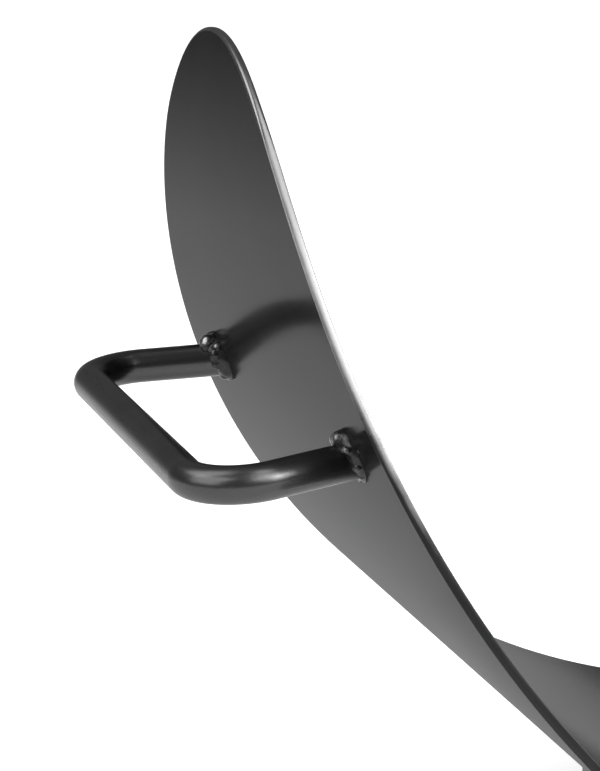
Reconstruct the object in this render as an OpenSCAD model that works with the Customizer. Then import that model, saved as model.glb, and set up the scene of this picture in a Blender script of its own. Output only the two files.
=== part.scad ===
// Firewood rack: an oval steel sheet rolled into a cradle, with two bent bar handles and two flat bar feet.
// The origin is on the floor under the middle of the cradle. X runs from handle to handle, Y from front to
// rear, and Z upward. All sizes are in millimetres and degrees.

/* [Sheet] */
// Length of the flat oval blank before it is rolled
blank_l = 1000; // [850:10:1120]
// Width of the flat oval blank, front to rear
blank_w = 340; // [310:5:420]
// Thickness of the sheet
sheet_t = 3; // [2:0.5:5]
// Outside radius that the sheet is rolled to
roll_r = 300; // [270:5:345]

/* [Handles] */
// Diameter of the round bar
bar_d = 12; // [8:1:16]
// Distance along the sheet from its tip down to the middle of a handle
handle_drop = 128.5; // [115:0.5:160]
// Spacing of a handle's two legs where they meet the sheet
leg_spacing = 150; // [110:1:170]
// Distance from the sheet out to the middle of the grip
handle_reach = 50.5; // [44:0.5:80]
// Angle by which each leg flares outward from square to the sheet
leg_flare = 14; // [0:1:18]
// Radius of the bar's bends, measured at its middle
handle_bend_r = 18; // [14:1:22]

/* [Feet] */
// Height of the sheet's lowest point above the floor
floor_gap = 15; // [10:1:40]
// Spacing of the two feet, middle to middle
foot_spacing = 260; // [180:5:320]
// Length of a foot, front to rear
foot_l = 200; // [140:5:240]
// Width of the flat bar that a foot is bent from
foot_w = 25; // [15:1:40]
// Thickness of the flat bar
foot_t = 5; // [3:0.5:8]
// Inside radius of a foot's bends
foot_bend_r = 6; // [4:0.5:12]

/* [Welds] */
// Width of a weld bead on the sheet
bead_w = 4.2; // [2.5:0.1:6]
// Height of a weld bead up the bar
bead_h = 5.4; // [2.5:0.1:7]
// Length of one lump along the bead
lump_l = 5; // [3:0.5:8]
// Share of its size that the bead loses between two lumps
lump_notch = 0.25; // [0:0.05:0.4]
// Share of its size by which one lump differs from the next
lump_uneven = 0.1; // [0:0.01:0.15]

/* [Hidden] */
// Smoothness of large and of small round shapes
roll_fn = 240;
bar_fn = 48;
// Number of straight steps along one lump, and the angles of its rounded face
lump_steps = 6;
bead_angles = [0, 30, 60, 90];
// Number of straight steps round the blank's outline
outline_steps = 240;
// How far a cutting solid reaches past what it cuts
past = 5;
// How far a flared leg starts inside its bend, and the bend's thickness as a share of the bar's. The bend is
// a hair thinner there, so that the two join as one solid without faces that coincide
lap = 0.2;
bend_share = 0.998;
// Colours of the lacquered sheet, of the bars and of the bare weld metal
sheet_colour = [0.20, 0.20, 0.205];
bar_colour = [0.13, 0.13, 0.135];
weld_colour = [0.09, 0.09, 0.095];

// Radius of the sheet's middle layer, whose length rolling keeps
mid_r = roll_r - sheet_t / 2;
// Height of the roll's axis
axis_z = floor_gap + roll_r;
// Angle from the lowest point of the roll up to the handles
handle_angle = (blank_l / 2 - handle_drop) / mid_r * 180 / PI;
// Where a handle meets the sheet
handle_x = roll_r * sin(handle_angle);
handle_z = axis_z - roll_r * cos(handle_angle);
// Half the grip's length between the points where its legs would meet it unrounded
handle_corner = leg_spacing / 2 + handle_reach * tan(leg_flare);
// Where a foot's middle meets the sheet, and its depth from there to the middle of its lower run
foot_x = foot_spacing / 2;
foot_top_z = axis_z - sqrt(roll_r ^ 2 - foot_x ^ 2);
foot_reach = foot_top_z - foot_t / 2;
foot_corner = (foot_l - foot_t) / 2;

// Distance along the blank and across it, at one angle round its outline
function along_blank(turn) = blank_l / 2 * cos(turn);
function across_blank(turn) = blank_w / 2 * sin(turn);

// A point of the blank's outline after rolling, at radius r from the roll's axis
function rolled(turn, r) =
    let (wrap = along_blank(turn) / mid_r * 180 / PI)
    [r * sin(wrap), across_blank(turn), axis_z - r * cos(wrap)];

// Distance of the sheet's outer face from the middle plane at height z
function face_x(z) = sqrt(roll_r ^ 2 - (z - axis_z) ^ 2);

// Height of the sheet's outer face at distance x from the middle plane
function face_z(x) = axis_z - sqrt(roll_r ^ 2 - x ^ 2);

// Share of its full size that a bead has at a place counted in lumps from its start
function bead_share(place) =
    (1 - lump_notch * (1 - abs(sin(180 * place)))) * (1 + lump_uneven * sin(137 * floor(place)));

// Corners of a bead's section, out along the sheet and up the bar, from the root where they meet
function bead_section(share) =
    concat([[0, 0]], [for (a = bead_angles) share * [bead_w * cos(a), bead_h * sin(a)]]);

// A solid made of rings of points, one after the other. A closed one joins its last ring to its first
module lofted(rings, closed) {
    n = len(rings);
    m = len(rings[0]);
    sides = [for (i = [0 : closed ? n - 1 : n - 2], j = [0 : m - 1], half = [0, 1])
        let (i2 = (i + 1) % n, j2 = (j + 1) % m)
        half == 0 ? [i * m + j, i2 * m + j, i2 * m + j2] : [i * m + j, i2 * m + j2, i * m + j2]];
    ends = closed ? [] : [[for (j = [0 : m - 1]) j], [for (j = [m - 1 : -1 : 0]) (n - 1) * m + j]];
    polyhedron([for (ring = rings) each ring], concat(sides, ends));
}

// A solid round bar along Y that fills the roll out to radius r
module roll_core(r) {
    translate([0, 0, axis_z])
        rotate([90, 0, 0])
            rotate(90)
                cylinder(r = r, h = blank_w + 2 * past, center = true, $fn = roll_fn);
}

// The blank's oval outline, bent with the sheet and thicker than it on both sides
module rolled_outline() {
    n = outline_steps;
    turns = [for (i = [0 : n - 1]) 360 * i / n];
    inner = [for (turn = turns) rolled(turn, roll_r - sheet_t - past)];
    outer = [for (turn = turns) rolled(turn, roll_r + past)];
    caps = [for (i = [0 : n / 2 - 1])
        let (front = (n - i) % n, next_front = n - i - 1)
        i == 0 ? [0, 1, n - 1]
        : i == n / 2 - 1 ? [i, i + 1, front]
        : [i, i + 1, next_front, front]];
    reversed_caps = [for (face = caps) [for (k = [len(face) - 1 : -1 : 0]) face[k] + n]];
    sides = [for (i = [0 : n - 1], half = [0, 1])
        let (j = (i + 1) % n)
        half == 0 ? [j, i, i + n] : [j, i + n, j + n]];
    polyhedron(concat(inner, outer), concat(caps, reversed_caps, sides));
}

// One half of a bent bar. X points away from the sheet, and the bar's section is the child, whose own X
// lies in the plane of the bend
module half_bent_bar(reach, corner, bend_r, flare, sunk) {
    turn = 90 + flare;
    tangent = bend_r * tan(turn / 2);
    bend_y = corner - tangent;
    leg_lap = flare > 0 ? lap : 0;
    bend_scale = flare > 0 ? bend_share : 1;
    translate([reach, 0, 0])
        rotate([-90, 0, 0])
            linear_extrude(bend_y)
                children();
    translate([reach - bend_r, bend_y, 0]) {
        rotate_extrude(angle = turn, $fn = 2 * bar_fn)
            translate([bend_r, 0])
                scale(bend_scale)
                    children();
        rotate(turn)
            translate([bend_r, -leg_lap, 0])
                rotate([-90, 0, 0])
                    linear_extrude(leg_lap + reach / cos(flare) - tangent + sunk)
                        children();
    }
}

// A bar bent twice to a grip or runner with two legs
module bent_bar(reach, corner, bend_r, flare, sunk) {
    half_bent_bar(reach, corner, bend_r, flare, sunk)
        children();
    mirror([0, 1, 0])
        half_bent_bar(reach, corner, bend_r, flare, sunk)
            children();
}

// The right handle: a round bar whose legs end on the sheet
module handle() {
    color(bar_colour)
        difference() {
            translate([handle_x, 0, handle_z])
                bent_bar(handle_reach, handle_corner, handle_bend_r, leg_flare, bar_d)
                    circle(d = bar_d, $fn = bar_fn);
            roll_core(roll_r);
        }
}

// The right foot: a flat bar whose legs end on the sheet
module foot() {
    color(bar_colour)
        difference() {
            translate([foot_x, 0, foot_top_z])
                rotate([0, 90, 0])
                    bent_bar(foot_reach, foot_corner, foot_bend_r + foot_t / 2, 0, foot_w)
                        square([foot_t, foot_w], center = true);
            roll_core(roll_r);
        }
}

// The bead round the rear leg of the right handle. Each ring starts in the corner between bar and sheet
module handle_weld() {
    lumps = round(PI * (bar_d + bead_w) / lump_l);
    steps = lumps * lump_steps;
    touch_r = bar_d / 2 / cos(180 / steps);
    color(weld_colour)
        lofted([for (i = [0 : steps - 1])
            let (turn = 360 * i / steps)
            [for (spot = bead_section(bead_share(i / lump_steps)))
                let (across = touch_r + spot[0],
                     z = handle_z + across * sin(turn),
                     x = face_x(z) + spot[1],
                     leg_y = leg_spacing / 2 + (x - handle_x) * tan(leg_flare))
                [x, leg_y + across * cos(turn) / cos(leg_flare), z]]], true);
}

// The bead along the outer face of the right foot's rear leg, which thins out at both ends
module foot_weld() {
    lumps = round(foot_w / lump_l);
    steps = lumps * lump_steps;
    color(weld_colour)
        lofted([for (i = [0 : steps])
            let (x = foot_x + foot_w * (i / steps - 0.5),
                 taper = min(1, 0.4 + 1.2 * min(i, steps - i) / lump_steps))
            [for (spot = bead_section(taper * bead_share(i / lump_steps)))
                [x, foot_l / 2 + spot[0], face_z(x) - spot[1]]]], false);
}

// Copies for the left end and for the front
module to_left() {
    mirror([1, 0, 0])
        children();
}

module to_front() {
    mirror([0, 1, 0])
        children();
}

module curved_plate() {
    color(sheet_colour)
        intersection() {
            difference() {
                roll_core(roll_r);
                roll_core(roll_r - sheet_t);
            }
            rolled_outline();
        }
}

curved_plate();
to_left() handle();  // left_handle
handle();  // right_handle
to_left() handle_weld();  // left_handle_rear_weld
to_left() to_front() handle_weld();  // left_handle_front_weld
handle_weld();  // right_handle_rear_weld
to_front() handle_weld();  // right_handle_front_weld
to_left() foot();  // left_foot
foot();  // right_foot
to_left() foot_weld();  // left_foot_rear_weld
to_left() to_front() foot_weld();  // left_foot_front_weld
foot_weld();  // right_foot_rear_weld
to_front() foot_weld();  // right_foot_front_weld
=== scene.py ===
from functools import partial
from math import cos, pi, radians, sin, sqrt, tan
from random import Random

import bmesh
import bpy
from mathutils import Matrix, Vector


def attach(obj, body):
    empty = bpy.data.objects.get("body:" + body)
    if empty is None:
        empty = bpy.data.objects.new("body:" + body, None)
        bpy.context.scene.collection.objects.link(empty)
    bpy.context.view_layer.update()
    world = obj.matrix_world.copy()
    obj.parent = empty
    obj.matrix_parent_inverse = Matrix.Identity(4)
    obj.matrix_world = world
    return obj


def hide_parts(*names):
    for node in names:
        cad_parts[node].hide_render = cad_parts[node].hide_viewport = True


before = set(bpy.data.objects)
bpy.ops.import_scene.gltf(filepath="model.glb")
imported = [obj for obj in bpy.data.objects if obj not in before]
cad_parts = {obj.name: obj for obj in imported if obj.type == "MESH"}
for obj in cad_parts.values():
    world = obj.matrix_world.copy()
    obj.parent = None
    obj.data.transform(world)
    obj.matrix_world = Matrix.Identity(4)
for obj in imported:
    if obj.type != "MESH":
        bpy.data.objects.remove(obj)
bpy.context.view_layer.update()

# Sheet, in metres: the flat oval blank, its thickness, the outside radius it is rolled to and the gap under
# it. Its middle layer keeps its length, and the roll's axis lies level above the floor
BLANK_L = 1.0
BLANK_W = 0.34
SHEET_T = 0.003
ROLL_R = 0.3
FLOOR_GAP = 0.015
MID_R = ROLL_R - SHEET_T / 2
AXIS_Z = FLOOR_GAP + ROLL_R

# Handles: the bar, where its legs meet the sheet, how far the grip stands out and how the bar is bent
BAR_D = 0.012
HANDLE_DROP = 0.1285
LEG_SPACING = 0.15
HANDLE_REACH = 0.0505
LEG_FLARE = radians(14)
HANDLE_BEND_R = 0.018
HANDLE_WRAP = (BLANK_L / 2 - HANDLE_DROP) / MID_R
HANDLE_X = ROLL_R * sin(HANDLE_WRAP)
HANDLE_Z = AXIS_Z - ROLL_R * cos(HANDLE_WRAP)

# Feet: flat bars that lie on the floor from front to rear and are bent up to the sheet at both ends
FOOT_SPACING = 0.26
FOOT_L = 0.2
FOOT_W = 0.025
FOOT_T = 0.005
FOOT_BEND_R = 0.006
FOOT_CORNER_R = 0.0008

# Camera: its place, heading from +X towards +Y, dip below level and roll, its focal length and the picture's
# height in pixels, and the length in millimetres that stands for that height
CAMERA_PLACE = Vector((-0.5086, -0.7933, 0.4364))
CAMERA_HEADING = radians(73.77)
CAMERA_DIP = radians(14.366)
CAMERA_ROLL = radians(-4.27)
FOCAL_PIXELS = 2559.1
PICTURE_HEIGHT = 771
SENSOR = 36

# Edge of the sheet: the radius of its dressed arrises along the sides and at the tips, the distances along
# the blank between which one becomes the other, and the angle of the edge's crown to either side
ARRIS_R = 0.0004
TIP_ARRIS_R = 0.0012
TIP = (0.464, 0.484)
CROWN = radians(9)
# How far inside the outline the two rings of points beside the edge lie
FRINGE_INSETS = (0.007, 0.002)
# Mesh fineness: steps round half of the sheet's outline and across the sheet, round an arris and over half of
# the crown, round a bar, along a bend and along a straight stretch of it, and round a flat bar's corner
OUTLINE_STEPS = 220
ACROSS_STEPS = 40
ARRIS_STEPS = 6
CROWN_STEPS = 4
BAR_STEPS = 64
BEND_STEPS = 20
STRAIGHT_STEPS = 4
CORNER_STEPS = 4
# How far the ends of the bars and the roots of the beads reach into the sheet
SUNK = 0.001

# Weld beads: width on the sheet and height up the bar, for a foot and for the front and rear leg of a handle.
# A bead round a leg is heavier, by up to a share, on the side that faces one way
FOOT_BEAD = (0.0042, 0.0054)
LEG_BEADS = {"front": (0.0040, 0.0036), "rear": (0.0032, 0.0054)}
HEAVY_WAYS = {"front": Vector((0, -0.1, 1)).normalized(), "rear": Vector((0, -0.8, 1)).normalized()}
HEAVY_SHARE = 0.55
# Share of a bead's size that its plain fillet has, and share that is left at the two ends of a foot's bead
FILLET_SHARE = 0.72
END_SHARE = 0.5
# Lumps sit on the fillet: their spacing, their radii, how high round the fillet they lie, the share of each
# that stands proud, and how sharply they melt into it
LUMP_L = 0.0034
LUMP_R = (0.0008, 0.0030)
LUMP_TILTS = (radians(12), radians(80))
LUMP_PROUD = 0.42
LUMP_MELT = 8
# Mesh of a bead: length of a step along it, steps over it, and the tilts from the one a little inside the
# sheet to the one a little inside the bar
BEAD_STEP_L = 0.00022
BEAD_STEPS = 20
BEAD_TILTS = (radians(-22), radians(112))
# Spatter beside a weld: number of droplets, their radii, how far out they lie, and how round they are made
DROPS = 2
DROP_R = (0.0003, 0.0006)
DROP_OUT = (0.0052, 0.0070)
DROP_FINENESS = 2
# Seed of the lumps and droplets, and its steps to either face, to either end and from a handle to a foot
WELD_SEED = 65
FACE_SEED_STEP = 11
END_SEED_STEP = 5
FOOT_SEED_STEP = 5

# Surfaces: levels of grey and how much blue each has for its grey, roughness, and how strongly each mirrors
LACQUER_BLUES = (1.04, 1.02)
SHEET_GREYS = (0.012, 0.018)
SHEET_ROUGH = (0.5, 0.6)
SHEET_COAT = 0.3
SHEET_COAT_ROUGH = 0.17
EDGE_GREYS = (0.18, 0.26)
EDGE_ROUGH = (0.25, 0.36)
EDGE_SPECULAR = 0.28
BAR_GREYS = (0.005, 0.011)
BAR_IOR = 1.73
BAR_ROUGH = (0.26, 0.34)
WELD_GREYS = (0.008, 0.022)
WELD_BLUES = (1.05, 0.97)
WELD_STEEL = 0.28
WELD_IOR = 1.43
WELD_ROUGH = (0.18, 0.32)
# A weld is rubbed to bare steel by its crest, which is how far a lump stands out, as a share of the fillet,
# times how far it faces up, counted from a little below level. That is partly wear and partly a painted
# highlight: the bare steel goes on up-facing lumps, where highlights fall. Here are the crests where that
# starts and is full, that little, and how much stains move the crest
CREST_WEAR_AND_HIGHLIGHT = (0.13, 0.30)
CREST_DOWN = 0.45
CREST_WOBBLE = 0.06
# The edge is rubbed to bare steel towards both ends, which is partly wear and partly a painted highlight, as
# the bare steel lies where the edge shows its highlight: distances along the blank where that starts and is
# full, how much patches move them, and how much further out they lie on the edge's outer side, with the
# depths between which that grows
RUBBED_AND_HIGHLIT = (0.352, 0.384)
RUBBED_WOBBLE = 0.008
OUTER_LAG = 0.03
LAG_DEPTHS = (-0.0002, 0.0010)
# How much of the bare edge's change in grey comes from its patches and from its lines
WEAR_SHARES = (0.6, 0.4)

# Textures: what each one follows, how many features it has in a metre each way, its number of finer
# layers, and how much of its strength each finer layer keeps, where that isn't the usual share
LAYER_SHARE = 0.55
SHEET_MOTTLE = ("blank", (14, 14, 1), 4)
SHEET_PEEL = ("Object", (700, 700, 700), 2)
SHEET_WAVES = ("Object", (60, 60, 60), 1)
EDGE_PATCHES = ("Object", (70, 70, 70), 5)
EDGE_LINES = ("blank", (220, 220, 5200), 3)
BAR_DRAWN = ("bar", (900, 900, 25), 4, 0.6)
BAR_GRAIN = ("Object", (1100, 1100, 1100), 3)
BAR_PATCHES = ("Object", (45, 45, 45), 4)
WELD_STAINS = ("Object", (260, 260, 260), 4)
WELD_RIPPLES = ("Object", (650, 650, 650), 2)
WELD_SKIN = ("Object", (1500, 1500, 1500), 3)
# Heights of their bumps, in metres
SHEET_PEEL_H = 0.000008
SHEET_WAVES_H = 0.00004
EDGE_LINES_H = 0.000008
BAR_DRAWN_H = 0.000008
BAR_GRAIN_H = 0.000026
WELD_STAINS_H = 0.0002
WELD_RIPPLES_H = 0.00008
WELD_SKIN_H = 0.00002
# Part of a texture's values over which a level changes: the usual one, and those of the sheet's roughness and
# of the bars' patches
USUAL_SPAN = (0.3, 0.7)
SHEET_ROUGH_SPAN = (0.4, 0.8)
BAR_PATCH_SPAN = (0.35, 0.65)
# Sockets of a colour mix: its share, its two colours and its result
MIX_SHARE = 0
MIX_COLOURS = (6, 7)
MIX_RESULT = 2
BLACK = (0, 0, 0, 1)
WHITE = (1, 1, 1, 1)

# Floor: its size, grey and roughness. It glows to stay white, by one level near the rack and another far from
# it, as the camera sees it and as the rack mirrors it, with the distances between which one becomes the other
FLOOR_SIZE = 40
FLOOR_GREY = 0.6
FLOOR_ROUGH = 0.9
FLOOR_GLOWS = (0.72, 1.0)
FLOOR_MIRRORED = (0.34, 0.85)
FLOOR_FAR = (1.5, 5)
# Under the rack the mirrored floor is lighter by this much, which fades between two distances. This is
# painted light: a glow that only reflections see, lifting the rack's shadow there
UNDER_MIRRORED = 0.5
UNDER_FADE = (0.2, 0.34)

# Light: the sky's level as a light and as the rack mirrors it, where the soft lamps aim and how far off they
# are. Each lamp has its azimuth from +X towards +Y, its elevation, how far it is rolled and the angles that
# its width and height fill, all in degrees, and its level
SKY_LEVEL = 0.12
SKY_MIRRORED = 0.12
LAMP_AIM = Vector((-0.29, 0, 0.2))
LAMP_DISTANCE = 4
LAMPS = {
    "front_right_lamp": (-43, 30, 0, 40, 36, 5.2),
    "bright_right_lamp": (-47, 30, 0, 12, 10, 18),
    "low_right_lamp": (-44, 21, 0, 16, 12, 9),
    "front_lamp": (-62, 57, -36, 20, 62, 3.4),
    "low_front_lamp": (-80, 29, 0, 12, 16, 2.2),
    "small_left_lamp": (-138, 47, 0, 9, 9, 5),
    "left_lamp": (-166, 37, 0, 44, 42, 2.6),
    "rear_left_lamp": (153, 60, 0, 28, 40, 3.0),
}
# A panel behind the left end that only reflections see, white at its foot and grey above, which paints a
# reflection on the sheet's upper end: its azimuth and distance from where the lamps aim, its width, its
# height, and where the fade ends and at what grey
PANEL_AZIMUTH = radians(112)
PANEL_DISTANCE = 1.2
PANEL_WIDTH = 1.4
PANEL_HEIGHT = 0.6
PANEL_FADE = (0.26, 0.15)


def radial(wrap):
    """The direction away from the roll's axis."""
    return Vector((sin(wrap), 0, -cos(wrap)))


def tangent(wrap):
    """The direction along the rolled sheet."""
    return Vector((cos(wrap), 0, sin(wrap)))


def rolled(along, across, radius):
    """A point of the flat blank after rolling, at a radius from the roll's axis."""
    return radius * radial(along / MID_R) + Vector((0, across, AXIS_Z))


def onto_sheet(point, direction, radius):
    """Where a line through a point meets the cylinder of that radius round the roll's axis."""
    across = Vector((point.x, point.z - AXIS_Z))
    step = Vector((direction.x, direction.z))
    a, b, c = step.dot(step), across.dot(step), across.dot(across) - radius ** 2
    reach = sqrt(b * b - a * c)
    nearest = min(((-b - reach) / a, (-b + reach) / a), key=abs)
    return point + nearest * direction


def ring_faces(start, rings, size, closed=False):
    """The faces between rings of points. A closed row of rings joins its last one to its first."""
    faces = []
    for i in range(rings if closed else rings - 1):
        low, high = start + i * size, start + (i + 1) % rings * size
        for j in range(size):
            k = (j + 1) % size
            faces.append((low + j, low + k, high + k, high + j))
    return faces


def make_piece(name, points, faces, materials, replaced, normals=None, face_materials=None,
               attributes=None):
    """A smooth closed mesh that rides on the rack and stands for the named solid."""
    mesh = bpy.data.meshes.new(name)
    mesh.from_pydata([tuple(p) for p in points], [], faces)
    for material in materials:
        mesh.materials.append(material)
    if face_materials:
        mesh.polygons.foreach_set("material_index", face_materials)
    shaped = bmesh.new()
    shaped.from_mesh(mesh)
    bmesh.ops.recalc_face_normals(shaped, faces=shaped.faces)
    shaped.to_mesh(mesh)
    shaped.free()
    mesh.polygons.foreach_set("use_smooth", [True] * len(faces))
    for key, values in (attributes or {}).items():
        layer = mesh.attributes.new(key, "FLOAT_VECTOR", "POINT")
        layer.data.foreach_set("vector", [x for value in values for x in value])
    if normals:
        mesh.normals_split_custom_set_from_vertices([tuple(n) for n in normals])
    piece = bpy.data.objects.new(name, mesh)
    bpy.context.scene.collection.objects.link(piece)
    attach(piece, "root")
    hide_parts(replaced)
    return piece


def blank_outline(turn, inset):
    """A point on the flat blank's oval, moved inward square to it, and the direction outward there."""
    outward = Vector((cos(turn) / BLANK_L, sin(turn) / BLANK_W)).normalized()
    return Vector((BLANK_L / 2 * cos(turn), BLANK_W / 2 * sin(turn))) - inset * outward, outward


def arris_radius(along):
    """The radius of the sheet's arrises at a distance along the blank: larger at the tips, and eased."""
    start, full = TIP
    share = min(max((abs(along) - start) / (full - start), 0), 1)
    return ARRIS_R + (TIP_ARRIS_R - ARRIS_R) * share * share * (3 - 2 * share)


def rim_profile(arris_r):
    """The sheet's section at its edge: inset from the outline, radius, and how far the face has turned."""
    outer = [(inset, ROLL_R, 0) for inset in FRINGE_INSETS]
    crown_r = (SHEET_T / 2 - arris_r * (1 - sin(CROWN))) / sin(CROWN)
    arris_inset = crown_r * (1 - cos(CROWN)) + arris_r * cos(CROWN)
    for k in range(ARRIS_STEPS + 1):
        turn = (pi / 2 - CROWN) * k / ARRIS_STEPS
        outer.append((arris_inset - arris_r * sin(turn), ROLL_R - arris_r * (1 - cos(turn)), turn))
    for k in range(1, CROWN_STEPS):
        rest = CROWN * (1 - k / CROWN_STEPS)
        outer.append((crown_r * (1 - cos(rest)), MID_R + crown_r * sin(rest), pi / 2 - rest))
    inner = [(inset, 2 * MID_R - radius, pi - turn) for inset, radius, turn in reversed(outer)]
    return outer + [(0, MID_R, pi / 2)] + inner


def rim_rings(turns, profiles):
    """The rings of points round the sheet's edge, with their normals and their places in the flat blank."""
    points, normals, places = [], [], []
    for ring in zip(*profiles):
        for turn, (inset, radius, tilt) in zip(turns, ring):
            spot, outward = blank_outline(turn, inset)
            wrap = spot.x / MID_R
            sideways = outward.x * tangent(wrap) + Vector((0, outward.y, 0))
            points.append(rolled(spot.x, spot.y, radius))
            normals.append(cos(tilt) * radial(wrap) + sin(tilt) * sideways)
            places.append((spot.x, spot.y, radius - MID_R))
    return points, normals, places


def fill_face(first, radius, facing, points, normals, places):
    """Adds the points across one face of the sheet, inside the ring from first on, and returns its faces."""
    rows = [[first] * (ACROSS_STEPS + 1)]
    for i in range(1, OUTLINE_STEPS):
        top, bottom = first + i, first + 2 * OUTLINE_STEPS - i
        along, across, _ = places[top]
        row = [top]
        for k in range(1, ACROSS_STEPS):
            y = across * (1 - 2 * k / ACROSS_STEPS)
            row.append(len(points))
            points.append(rolled(along, y, radius))
            normals.append(facing * radial(along / MID_R))
            places.append((along, y, radius - MID_R))
        rows.append(row + [bottom])
    rows.append([first + OUTLINE_STEPS] * (ACROSS_STEPS + 1))
    faces = []
    for row, after in zip(rows, rows[1:]):
        for k in range(ACROSS_STEPS):
            corners = dict.fromkeys((row[k], after[k], after[k + 1], row[k + 1]))
            faces.append(tuple(corners))
    return faces


def make_plate(faces_material, edge_material):
    """The oval sheet: cut flat, its arrises dressed round, then rolled."""
    around = 2 * OUTLINE_STEPS
    turns = [pi * j / OUTLINE_STEPS for j in range(around)]
    profiles = [rim_profile(arris_radius(BLANK_L / 2 * cos(turn))) for turn in turns]
    points, normals, places = rim_rings(turns, profiles)
    _, radii, tilts = zip(*profiles[0])
    last = len(tilts) - 1
    faces = ring_faces(0, len(tilts), around)
    face_materials = []
    for tilt, after in zip(tilts, tilts[1:]):
        edge = 0 < after < pi or 0 < tilt < pi
        face_materials += [1 if edge else 0] * around
    for level, facing in ((0, 1), (last, -1)):
        faces += fill_face(level * around, radii[level], facing, points, normals, places)
    face_materials += [0] * (len(faces) - len(face_materials))
    return make_piece("plate", points, faces, [faces_material, edge_material], "curved_plate",
                      normals, face_materials, {"blank": places})


def bent_path(reach, corner, bend_r, flare):
    """Stations along a bar bent twice: distance from the sheet, place along the grip, and bend angle."""
    turn = pi / 2 + flare
    bend_y = corner - bend_r * tan(turn / 2)
    half = [(reach, bend_y * k / STRAIGHT_STEPS, 0) for k in range(STRAIGHT_STEPS)]
    for k in range(BEND_STEPS + 1):
        angle = turn * k / BEND_STEPS
        half.append((reach - bend_r * (1 - cos(angle)), bend_y + bend_r * sin(angle), angle))
    away, along, _ = half[-1]
    leg = away / sin(turn)
    for k in range(1, STRAIGHT_STEPS + 1):
        drop, flared = leg * sin(turn) * k / STRAIGHT_STEPS, leg * cos(turn) * k / STRAIGHT_STEPS
        half.append((away - drop, along + flared, turn))
    return [(u, -v, -t) for u, v, t in reversed(half[1:])] + half


def make_bar(name, section, path, origin, away, along, material, replaced):
    """Sweeps a section along a bent path. Both ends stop on the sheet, a little below its face."""
    points, places, normals = [], [], []
    binormal = away.cross(along)
    n = len(section)
    length = 0
    for i, (u, v, turn) in enumerate(path):
        outward = cos(turn) * away + sin(turn) * along
        forward = -sin(turn) * away + cos(turn) * along
        centre = origin + u * away + v * along
        if i:
            length += (centre - before).length
        before = centre
        for (a, b), (na, nb) in section:
            point = centre + a * outward + b * binormal
            if i in (0, len(path) - 1):
                point = onto_sheet(point, forward, ROLL_R - SUNK)
            points.append(point)
            normals.append(na * outward + nb * binormal)
            places.append((a, b, length))
    faces = ring_faces(0, len(path), n)
    faces.append(tuple(range(n)))
    faces.append(tuple(range(len(points) - n, len(points))))
    return make_piece(name, points, faces, [material], replaced, normals,
                      attributes={"bar": places})


def round_section(diameter):
    """Points and normals round a bar's section."""
    turns = [2 * pi * k / BAR_STEPS for k in range(BAR_STEPS)]
    return [((diameter / 2 * cos(t), diameter / 2 * sin(t)), (cos(t), sin(t))) for t in turns]


def flat_section(thickness, width, corner_r):
    """Points and normals round a flat bar's section, with rolled corners."""
    section = []
    for quarter, (sa, sb) in enumerate(((1, 1), (-1, 1), (-1, -1), (1, -1))):
        for k in range(CORNER_STEPS + 1):
            t = pi / 2 * (quarter + k / CORNER_STEPS)
            a = sa * (thickness / 2 - corner_r) + corner_r * cos(t)
            b = sb * (width / 2 - corner_r) + corner_r * sin(t)
            section.append(((a, b), (cos(t), sin(t))))
    return section


def make_handle(end, side, material):
    """One handle, with its grip level and its legs flaring outward."""
    corner = LEG_SPACING / 2 + HANDLE_REACH * tan(LEG_FLARE)
    path = bent_path(HANDLE_REACH, corner, HANDLE_BEND_R, LEG_FLARE)
    return make_bar(end + "_handle_bar", round_section(BAR_D), path, Vector((side * HANDLE_X, 0, HANDLE_Z)),
                    Vector((side, 0, 0)), Vector((0, 1, 0)), material, end + "_handle")


def make_foot(end, side, material):
    """One foot: a flat bar that lies on the floor and is bent up to the sheet at front and rear."""
    x = FOOT_SPACING / 2
    top = AXIS_Z - sqrt(ROLL_R ** 2 - x ** 2)
    path = bent_path(top - FOOT_T / 2, (FOOT_L - FOOT_T) / 2, FOOT_BEND_R + FOOT_T / 2, 0)
    section = flat_section(FOOT_T, FOOT_W, FOOT_CORNER_R)
    return make_bar(end + "_foot_bar", section, path, Vector((side * x, 0, top)),
                    Vector((0, 0, -1)), Vector((0, 1, 0)), material, end + "_foot")


def leg_corner(side, face, share):
    """The corner between a handle's leg and the sheet, a share of the way round, and both ways out of it."""
    turn = 2 * pi * share
    base = Vector((side * HANDLE_X, face * LEG_SPACING / 2, HANDLE_Z))
    leg = Vector((side * cos(LEG_FLARE), face * sin(LEG_FLARE), 0))
    level = Vector((-side * sin(LEG_FLARE), face * cos(LEG_FLARE), 0))
    outward = cos(turn) * level + sin(turn) * Vector((0, 0, 1))
    root = onto_sheet(base + BAR_D / 2 * outward, leg, ROLL_R)
    normal = Vector((root.x, 0, root.z - AXIS_Z)).normalized()
    return root, (outward - outward.dot(normal) * normal).normalized(), leg


def foot_corner(side, face, share):
    """The corner between a foot's leg and the sheet, a share of the way along, and both ways out of it."""
    x = side * FOOT_SPACING / 2 + FOOT_W * (share - 0.5)
    root = Vector((x, face * FOOT_L / 2, AXIS_Z - sqrt(ROLL_R ** 2 - x ** 2)))
    return root, Vector((0, face, 0)), Vector((0, 0, -1))


def fillet_reach(tilt, width, height):
    """How far a bead's plain fillet reaches from its root, at a tilt from the sheet up to the bar."""
    return FILLET_SHARE / sqrt((cos(tilt) / width) ** 2 + (sin(tilt) / height) ** 2)


def swell(out, heavy_way):
    """How heavy a bead is where it faces that way, against its plain size."""
    return 1 + HEAVY_SHARE * out.dot(heavy_way) if heavy_way else 1


def end_taper(share, length, height):
    """How heavy an open bead is at a share of its length: it thins out towards both ends."""
    return min(1, END_SHARE + length / height * min(share, 1 - share))


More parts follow.
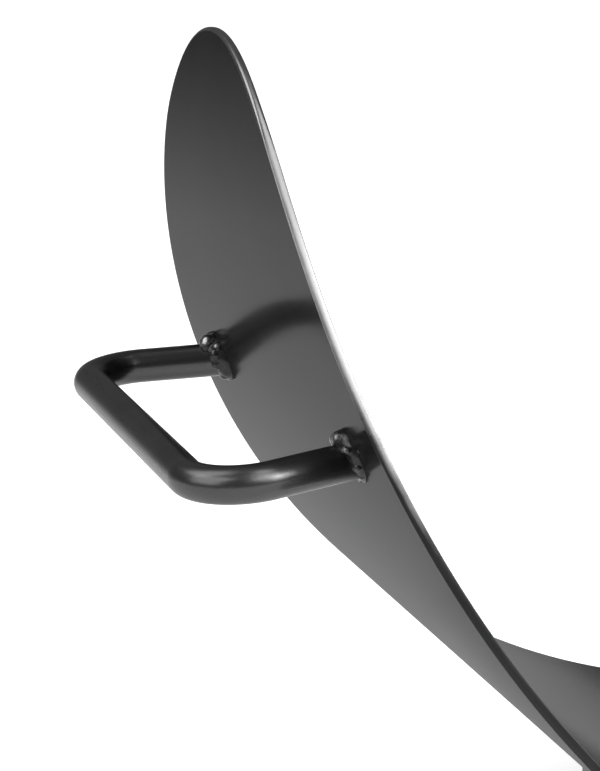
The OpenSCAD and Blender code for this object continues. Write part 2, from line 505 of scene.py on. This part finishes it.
def make_lumps(corner, length, size, heavy_way, random):
    """The centre and radius of each lump of weld metal along a corner: many small ones and a few large."""
    count = round(length / LUMP_L)
    small, large = LUMP_R
    lumps = []
    for k in range(count):
        root, out, up = corner((k + random.random()) / count)
        heavy = swell(out, heavy_way)
        tilt = random.uniform(*LUMP_TILTS)
        radius = heavy * (small + (large - small) * random.random() ** 2)
        reach = heavy * fillet_reach(tilt, *size) - (1 - LUMP_PROUD) * radius
        lumps.append((root + reach * (cos(tilt) * out + sin(tilt) * up), radius))
    return lumps


def bead_reach(root, direction, plain, lumps):
    """How far a bead reaches from its root: past the plain fillet and past each lump, melted together."""
    total = plain ** LUMP_MELT
    for centre, radius in lumps:
        to_centre = centre - root
        ahead = direction.dot(to_centre)
        inside = radius ** 2 - to_centre.length_squared + ahead ** 2
        if inside > 0:
            total += max(0, ahead + sqrt(inside)) ** LUMP_MELT
    return total ** (1 / LUMP_MELT)


def make_drops(corner, random):
    """Droplets of spatter, each half sunk in the sheet: points and faces."""
    points, faces = [], []
    for _ in range(DROPS):
        root, out, _ = corner(random.random())
        radius = random.uniform(*DROP_R)
        place = root + random.uniform(*DROP_OUT) * out
        place = onto_sheet(place, Vector((place.x, 0, place.z - AXIS_Z)).normalized(), ROLL_R)
        ball = bmesh.new()
        bmesh.ops.create_icosphere(ball, subdivisions=DROP_FINENESS, radius=radius)
        first = len(points)
        points += [v.co + place for v in ball.verts]
        faces += [tuple(first + v.index for v in face.verts) for face in ball.faces]
        ball.free()
    return points, faces


def make_weld(name, corner, length, size, heavy_way, seed, material, replaced):
    """A lumpy fillet bead along a corner, with its spatter. One with a heavy way runs round a leg, closed."""
    random = Random(seed)
    lumps = make_lumps(corner, length, size, heavy_way, random)
    points, faces = make_drops(corner, random)
    crest_wears_and_highlights = [(0, 0, 0)] * len(points)
    start = len(points)
    steps = round(length / BEAD_STEP_L)
    rings = steps if heavy_way else steps + 1
    low_tilt, high_tilt = BEAD_TILTS
    tilts = [low_tilt + (high_tilt - low_tilt) * k / BEAD_STEPS for k in range(BEAD_STEPS + 1)]
    for i in range(rings):
        root, out, up = corner(i / steps)
        heavy = swell(out, heavy_way) if heavy_way else end_taper(i / steps, length, size[1])
        points.append(root - SUNK * (out + up))
        crest_wears_and_highlights.append((0, 0, 0))
        for tilt in tilts:
            direction = (cos(tilt) * out + sin(tilt) * up).normalized()
            plain = heavy * fillet_reach(tilt, *size)
            reach = bead_reach(root, direction, plain, lumps)
            points.append(root + reach * direction)
            # Partly a painted highlight: a lump's crest counts only as far as it faces up, so bare steel goes
            # where highlights fall
            crest_wears_and_highlights.append(((reach / plain - 1) * max(0, direction.z + CREST_DOWN), 0, 0))
    n = len(tilts) + 1
    faces += ring_faces(start, rings, n, closed=bool(heavy_way))
    if not heavy_way:
        faces.append(tuple(range(start, start + n)))
        faces.append(tuple(range(len(points) - n, len(points))))
    return make_piece(name, points, faces, [material], replaced, attributes={"crest_wear_and_highlight": crest_wears_and_highlights})


def make_welds(end, side, material):
    """The beads of one end: at the front and rear leg of its handle, and of its foot."""
    for where, face in (("front", -1), ("rear", 1)):
        seed = WELD_SEED + FACE_SEED_STEP * face + END_SEED_STEP * side
        leg_bead = LEG_BEADS[where]
        make_weld(f"{end}_handle_{where}_bead", partial(leg_corner, side, face), pi * (BAR_D + leg_bead[0]),
                  leg_bead, HEAVY_WAYS[where], seed, material, f"{end}_handle_{where}_weld")
        make_weld(f"{end}_foot_{where}_bead", partial(foot_corner, side, face), FOOT_W,
                  FOOT_BEAD, None, seed + FOOT_SEED_STEP, material, f"{end}_foot_{where}_weld")


def new_material(name):
    """An empty material with its node tree and its shader."""
    material = bpy.data.materials.new(name)
    material.use_nodes = True
    return material, material.node_tree, material.node_tree.nodes["Principled BSDF"]


def places_on(tree, source, scale=(1, 1, 1)):
    """Places in the object's own space, or in an attribute of the mesh, stretched by a scale."""
    if source == "Object":
        places = tree.nodes.new("ShaderNodeTexCoord").outputs["Object"]
    else:
        attribute = tree.nodes.new("ShaderNodeAttribute")
        attribute.attribute_name = source
        places = attribute.outputs["Vector"]
    mapping = tree.nodes.new("ShaderNodeMapping")
    mapping.inputs["Scale"].default_value = scale
    tree.links.new(places, mapping.inputs["Vector"])
    return mapping.outputs["Vector"]


def noise_value(tree, source, scale, layers, layer_share=LAYER_SHARE):
    """Noise between 0 and 1."""
    texture = tree.nodes.new("ShaderNodeTexNoise")
    texture.inputs["Scale"].default_value = 1
    texture.inputs["Detail"].default_value = layers
    texture.inputs["Roughness"].default_value = layer_share
    tree.links.new(places_on(tree, source, scale), texture.inputs["Vector"])
    return texture.outputs["Fac"]


def ranged(tree, value, from_low, from_high, low, high):
    """Maps a value from one range to another, and clamps it."""
    mapped = tree.nodes.new("ShaderNodeMapRange")
    for key, number in (("From Min", from_low), ("From Max", from_high), ("To Min", low), ("To Max", high)):
        mapped.inputs[key].default_value = number
    tree.links.new(value, mapped.inputs["Value"])
    return mapped.outputs["Result"]


def separated(tree, vector, axis):
    """One number of a vector."""
    parts = tree.nodes.new("ShaderNodeSeparateXYZ")
    tree.links.new(vector, parts.inputs["Vector"])
    return parts.outputs[axis]


def combined(tree, operation, first, second=0):
    """Two values put together, or one value changed."""
    maths = tree.nodes.new("ShaderNodeMath")
    maths.operation = operation
    for index, value in enumerate((first, second)):
        if isinstance(value, (int, float)):
            maths.inputs[index].default_value = value
        else:
            tree.links.new(value, maths.inputs[index])
    return maths.outputs["Value"]


def mixed_colour(tree, share, first, second):
    """A colour between two colours."""
    mix = tree.nodes.new("ShaderNodeMix")
    mix.data_type = "RGBA"
    for socket, colour in zip(MIX_COLOURS, (first, second)):
        if isinstance(colour, tuple):
            mix.inputs[socket].default_value = (*colour, 1)
        else:
            tree.links.new(colour, mix.inputs[socket])
    tree.links.new(share, mix.inputs[MIX_SHARE])
    return mix.outputs[MIX_RESULT]


def bumped(tree, height, distance, below=None):
    """A bump of that height in metres, over another bump if one is given."""
    bump = tree.nodes.new("ShaderNodeBump")
    bump.inputs["Strength"].default_value = 1
    bump.inputs["Distance"].default_value = distance
    tree.links.new(height, bump.inputs["Height"])
    if below:
        tree.links.new(below, bump.inputs["Normal"])
    return bump.outputs["Normal"]


def grey(value, blue=1):
    """A neutral colour, slightly cold if blue is above 1."""
    return (value, value, value * blue)


def toned(tree, share, greys, blues=(1, 1)):
    """A colour between two greys."""
    first, second = (grey(value, blue) for value, blue in zip(greys, blues))
    return mixed_colour(tree, share, first, second)


def sheet_lacquer():
    """Satin black lacquer over rolled sheet: faint mottling, and a fine orange peel over slow waves."""
    material, tree, shader = new_material("sheet_lacquer")
    mottle = noise_value(tree, *SHEET_MOTTLE)
    peel = noise_value(tree, *SHEET_PEEL)
    waves = noise_value(tree, *SHEET_WAVES)
    colour = toned(tree, ranged(tree, mottle, *USUAL_SPAN, 0, 1), SHEET_GREYS, LACQUER_BLUES)
    tree.links.new(colour, shader.inputs["Base Color"])
    tree.links.new(ranged(tree, mottle, *SHEET_ROUGH_SPAN, *SHEET_ROUGH), shader.inputs["Roughness"])
    shader.inputs["Specular IOR Level"].default_value = 0
    shader.inputs["Coat Weight"].default_value = SHEET_COAT
    shader.inputs["Coat Roughness"].default_value = SHEET_COAT_ROUGH
    normal = bumped(tree, peel, SHEET_PEEL_H, bumped(tree, waves, SHEET_WAVES_H))
    tree.links.new(normal, shader.inputs["Normal"])
    tree.links.new(normal, shader.inputs["Coat Normal"])
    return material


def edge_steel():
    """The sheet's cut edge: lacquered, and rubbed to bare steel with fine lines towards both ends, partly
    wear and partly a painted highlight.
    """
    material, tree, shader = new_material("edge_steel")
    patches = noise_value(tree, *EDGE_PATCHES)
    lines = noise_value(tree, *EDGE_LINES)
    patch_wear, line_wear = (ranged(tree, texture, *USUAL_SPAN, 0, share)
                             for texture, share in zip((patches, lines), WEAR_SHARES))
    steel = toned(tree, combined(tree, "ADD", patch_wear, line_wear), EDGE_GREYS)
    place = places_on(tree, "blank")
    wobble = ranged(tree, patches, *USUAL_SPAN, -RUBBED_WOBBLE, RUBBED_WOBBLE)
    distance = combined(tree, "ADD", combined(tree, "ABSOLUTE", separated(tree, place, "X")), wobble)
    lag = ranged(tree, separated(tree, place, "Z"), *LAG_DEPTHS, 0, OUTER_LAG)
    # Bare steel towards both ends, where the edge's highlight falls: partly wear and partly a painted
    # highlight
    bare = ranged(tree, combined(tree, "SUBTRACT", distance, lag), *RUBBED_AND_HIGHLIT, 0, 1)
    tree.links.new(mixed_colour(tree, bare, grey(SHEET_GREYS[0]), steel), shader.inputs["Base Color"])
    shader.inputs["Specular IOR Level"].default_value = EDGE_SPECULAR
    tree.links.new(ranged(tree, patches, *USUAL_SPAN, *EDGE_ROUGH), shader.inputs["Roughness"])
    tree.links.new(bare, shader.inputs["Metallic"])
    tree.links.new(bumped(tree, lines, EDGE_LINES_H), shader.inputs["Normal"])
    return material


def bar_lacquer():
    """Satin black lacquer over drawn bar: faint lines along the bar, fine grain and rubbed patches."""
    material, tree, shader = new_material("bar_lacquer")
    drawn = noise_value(tree, *BAR_DRAWN)
    grain = noise_value(tree, *BAR_GRAIN)
    patches = noise_value(tree, *BAR_PATCHES)
    colour = toned(tree, ranged(tree, patches, *BAR_PATCH_SPAN, 0, 1), BAR_GREYS, LACQUER_BLUES)
    tree.links.new(colour, shader.inputs["Base Color"])
    tree.links.new(ranged(tree, drawn, *USUAL_SPAN, *BAR_ROUGH), shader.inputs["Roughness"])
    shader.inputs["IOR"].default_value = BAR_IOR
    normal = bumped(tree, grain, BAR_GRAIN_H, bumped(tree, drawn, BAR_DRAWN_H))
    tree.links.new(normal, shader.inputs["Normal"])
    return material


def weld_lacquer():
    """Lacquer over weld metal: glossier than on the bars, wrinkled, and rubbed to steel on up-facing crests,
    partly wear and partly a painted highlight.
    """
    material, tree, shader = new_material("weld_lacquer")
    stains = noise_value(tree, *WELD_STAINS)
    ripples = noise_value(tree, *WELD_RIPPLES)
    skin = noise_value(tree, *WELD_SKIN)
    colour = toned(tree, ranged(tree, stains, *USUAL_SPAN, 0, 1), WELD_GREYS, WELD_BLUES)
    wobble = ranged(tree, stains, *USUAL_SPAN, -CREST_WOBBLE, CREST_WOBBLE)
    # Bare steel on up-facing lump crests: partly wear, partly a painted highlight
    crest_wear_and_highlight = combined(tree, "ADD", separated(tree, places_on(tree, "crest_wear_and_highlight"), "X"), wobble)
    bare = ranged(tree, crest_wear_and_highlight, *CREST_WEAR_AND_HIGHLIGHT, 0, 1)
    tree.links.new(mixed_colour(tree, bare, colour, grey(WELD_STEEL)), shader.inputs["Base Color"])
    tree.links.new(bare, shader.inputs["Metallic"])
    tree.links.new(ranged(tree, stains, *USUAL_SPAN, *WELD_ROUGH), shader.inputs["Roughness"])
    shader.inputs["IOR"].default_value = WELD_IOR
    normal = bumped(tree, ripples, WELD_RIPPLES_H, bumped(tree, stains, WELD_STAINS_H))
    tree.links.new(bumped(tree, skin, WELD_SKIN_H, normal), shader.inputs["Normal"])
    return material


def ray_kinds(tree):
    """Whether the camera sees a surface straight, and whether it sees it mirrored or through glass."""
    path = tree.nodes.new("ShaderNodeLightPath")
    mirrored = combined(tree, "MAXIMUM", path.outputs["Is Glossy Ray"], path.outputs["Is Transmission Ray"])
    return path.outputs["Is Camera Ray"], mirrored


def floor_paint():
    """Pale matt floor, white where nothing shades it, also as the rack mirrors it; a painted glow that only
    reflections see lightens it under the rack.
    """
    material, tree, shader = new_material("floor_paint")
    shader.inputs["Base Color"].default_value = (*grey(FLOOR_GREY), 1)
    shader.inputs["Roughness"].default_value = FLOOR_ROUGH
    shader.inputs["Specular IOR Level"].default_value = 0
    away = tree.nodes.new("ShaderNodeVectorMath")
    away.operation = "LENGTH"
    tree.links.new(places_on(tree, "Object"), away.inputs[0])
    distance = away.outputs["Value"]
    seen_glow, far_glow = (ranged(tree, distance, *FLOOR_FAR, *levels)
                           for levels in (FLOOR_GLOWS, FLOOR_MIRRORED))
    # Painted light: a glow that only reflections see lightens the floor under the rack, where the rack's
    # shadow falls
    painted_under_glow = ranged(tree, distance, *UNDER_FADE, UNDER_MIRRORED, 0)
    mirrored_glow = combined(tree, "ADD", far_glow, painted_under_glow)
    seen, mirrored = ray_kinds(tree)
    glow = combined(tree, "MAXIMUM", combined(tree, "MULTIPLY", seen, seen_glow),
                    combined(tree, "MULTIPLY", mirrored, mirrored_glow))
    shader.inputs["Emission Color"].default_value = WHITE
    tree.links.new(glow, shader.inputs["Emission Strength"])
    return material


def panel_painted_reflection():
    """Painted reflection: a black surface whose glow fades from white at its foot to grey."""
    material, tree, shader = new_material("panel_painted_reflection")
    shader.inputs["Base Color"].default_value = BLACK
    shader.inputs["Specular IOR Level"].default_value = 0
    shader.inputs["Emission Color"].default_value = WHITE
    fade_end, fade_grey = PANEL_FADE
    above = separated(tree, places_on(tree, "Object"), "Z")
    tree.links.new(ranged(tree, above, 0, fade_end, 1, fade_grey), shader.inputs["Emission Strength"])
    return material


def direction_of(azimuth, elevation):
    """The direction at an azimuth from +X towards +Y and at an elevation."""
    return Vector((cos(elevation) * cos(azimuth), cos(elevation) * sin(azimuth), sin(elevation)))


def place_matrix(right, up, back, place):
    """The matrix of an object at a place, from where its own X, Y and Z point."""
    matrix = Matrix((right, up, back)).transposed().to_4x4()
    matrix.translation = place
    return matrix


def make_rectangle(name, corners, material):
    """A flat rectangle."""
    mesh = bpy.data.meshes.new(name)
    mesh.from_pydata(corners, [], [(0, 1, 2, 3)])
    mesh.materials.append(material)
    rectangle = bpy.data.objects.new(name, mesh)
    bpy.context.scene.collection.objects.link(rectangle)
    return rectangle


def make_floor():
    """A plain floor that fills the picture."""
    half = FLOOR_SIZE / 2
    corners = [(-half, -half, 0), (half, -half, 0), (half, half, 0), (-half, half, 0)]
    floor = make_rectangle("floor", corners, floor_paint())


def make_panel():
    """A panel that dims what the sheet's upper end mirrors, as a dark flag in a studio does, but only
    reflections see it and it casts no shadow: a painted reflection.
    """
    back = direction_of(PANEL_AZIMUTH, 0)
    across = Vector((-back.y, back.x, 0)) * PANEL_WIDTH / 2
    foot = Vector((LAMP_AIM.x, LAMP_AIM.y, 0)) + PANEL_DISTANCE * back
    top = Vector((0, 0, PANEL_HEIGHT))
    corners = [foot - across, foot + across, foot + across + top, foot - across + top]
    panel = make_rectangle("panel", corners, panel_painted_reflection())
    # Only reflections see the panel: it paints a dim reflection and neither lights nor shades anything
    panel.visible_camera = False
    panel.visible_diffuse = False
    panel.visible_shadow = False


def make_camera():
    """The camera at the photograph's place and angle."""
    ahead = direction_of(CAMERA_HEADING, -CAMERA_DIP)
    level = Vector((sin(CAMERA_HEADING), -cos(CAMERA_HEADING), 0))
    above = level.cross(ahead)
    right = cos(CAMERA_ROLL) * level + sin(CAMERA_ROLL) * above
    up = cos(CAMERA_ROLL) * above - sin(CAMERA_ROLL) * level
    data = bpy.data.cameras.new("camera")
    data.sensor_width = SENSOR
    data.lens = FOCAL_PIXELS / PICTURE_HEIGHT * SENSOR
    camera = bpy.data.objects.new("camera", data)
    camera.matrix_world = place_matrix(right, up, -ahead, CAMERA_PLACE)
    bpy.context.scene.collection.objects.link(camera)
    bpy.context.scene.camera = camera


def make_lamp(name, azimuth, elevation, roll, width_angle, height_angle, level):
    """A soft rectangular lamp that faces the rack from one side, seen there as that bright."""
    azimuth, elevation, roll = radians(azimuth), radians(elevation), radians(roll)
    width = 2 * LAMP_DISTANCE * tan(radians(width_angle) / 2)
    height = 2 * LAMP_DISTANCE * tan(radians(height_angle) / 2)
    data = bpy.data.lights.new(name, "AREA")
    data.shape = "RECTANGLE"
    data.size, data.size_y = width, height
    data.energy = pi * width * height * level
    back = direction_of(azimuth, elevation)
    level_right = Vector((-sin(azimuth), cos(azimuth), 0))
    right = cos(roll) * level_right + sin(roll) * back.cross(level_right)
    lamp = bpy.data.objects.new(name, data)
    lamp.matrix_world = place_matrix(right, back.cross(right), back, LAMP_AIM + LAMP_DISTANCE * back)
    lamp.visible_camera = False
    bpy.context.scene.collection.objects.link(lamp)


def make_world():
    """An even sky: white behind the rack, and a dim room as the rack mirrors it and as a light."""
    world = bpy.data.worlds.new("world")
    world.use_nodes = True
    tree = world.node_tree
    background = tree.nodes["Background"]
    background.inputs["Color"].default_value = WHITE
    seen, mirrored = ray_kinds(tree)
    room = combined(tree, "MAXIMUM", combined(tree, "MULTIPLY", mirrored, SKY_MIRRORED), SKY_LEVEL)
    tree.links.new(combined(tree, "MAXIMUM", seen, room), background.inputs["Strength"])
    bpy.context.scene.world = world


make_camera()
make_floor()
make_panel()
make_world()
for name, lamp in LAMPS.items():
    make_lamp(name, *lamp)

lacquer, edge = sheet_lacquer(), edge_steel()
bars, welds = bar_lacquer(), weld_lacquer()
make_plate(lacquer, edge)
for end, side in (("left", -1), ("right", 1)):
    make_handle(end, side, bars)
    make_foot(end, side, bars)
    make_welds(end, side, welds)

bpy.context.scene.view_settings.view_transform = "Standard"
